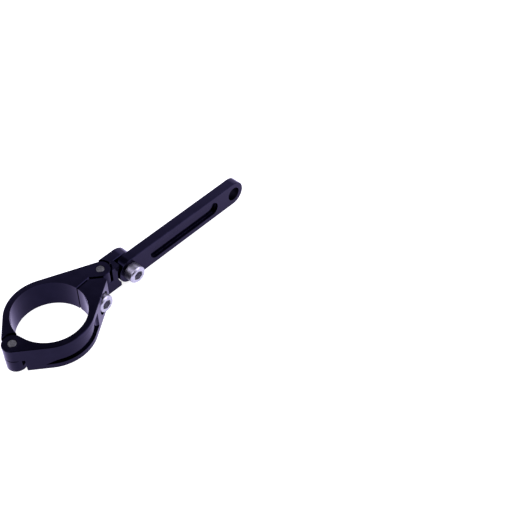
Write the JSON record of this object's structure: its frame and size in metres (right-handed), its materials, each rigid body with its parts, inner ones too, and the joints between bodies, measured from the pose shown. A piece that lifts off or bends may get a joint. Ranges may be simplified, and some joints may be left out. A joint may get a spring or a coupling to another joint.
{
  "type": "headlight mounting bracket",
  "caption": "Black fork-clamp headlight bracket: a hinged split ring closed by a socket screw, a swivel on a pivot pin and a straight arm with a lamp hole.",
  "frame": {"origin": "on the fork tube's axis, at the lower face of the clamp", "axes": "+Z along the fork tube's axis, +X from the tube towards the pivot pin and the arm, the clamp screw's head on the side of -Y"},
  "size_m": [0.1692, 0.0458, 0.016],
  "materials": {
    "black_anodised": "satin black anodised, with a violet cast",
    "bright_steel": "bright zinc plated",
    "ground_steel": "ground, uncoated ends"
  },
  "bodies": {
    "clamp": {"pivot_jaw": "black_anodised", "hinge_pin": "ground_steel", "pivot_pin": "ground_steel"},
    "screw_jaw": {"screw_jaw": "black_anodised"},
    "clamp_screw": {"clamp_screw": "bright_steel"},
    "swivel": {"swivel": "black_anodised", "arm_screw": "bright_steel"},
    "arm": {"arm": "black_anodised"}
  },
  "joints": [
    {"name": "jaw_open", "type": "hinge", "parent": "clamp", "child": "screw_jaw", "pos_m": [-0.0249, 0, 0], "axis": [0, 0, -1], "range_deg": [0, 2.5]},
    {"name": "clamp_screw_travel", "type": "slide", "parent": "clamp", "child": "clamp_screw", "axis": [0, -1, 0], "range_m": [0, 0.0025]},
    {"name": "swivel_turn", "type": "hinge", "parent": "clamp", "child": "swivel", "pos_m": [0.0367, 0, 0], "axis": [0, 0, 1], "range_deg": [-45, 35]},
    {"name": "arm_tilt", "type": "hinge", "parent": "swivel", "child": "arm", "pos_m": [0.05129, -0.00188, 0.008], "axis": [0.0872, 0.9962, 0], "range_deg": [-70, 70]}
  ],
  "couplings": [
    {"joint": "clamp_screw_travel", "follows": "jaw_open", "m_per_rad": 0.056}
  ]
}
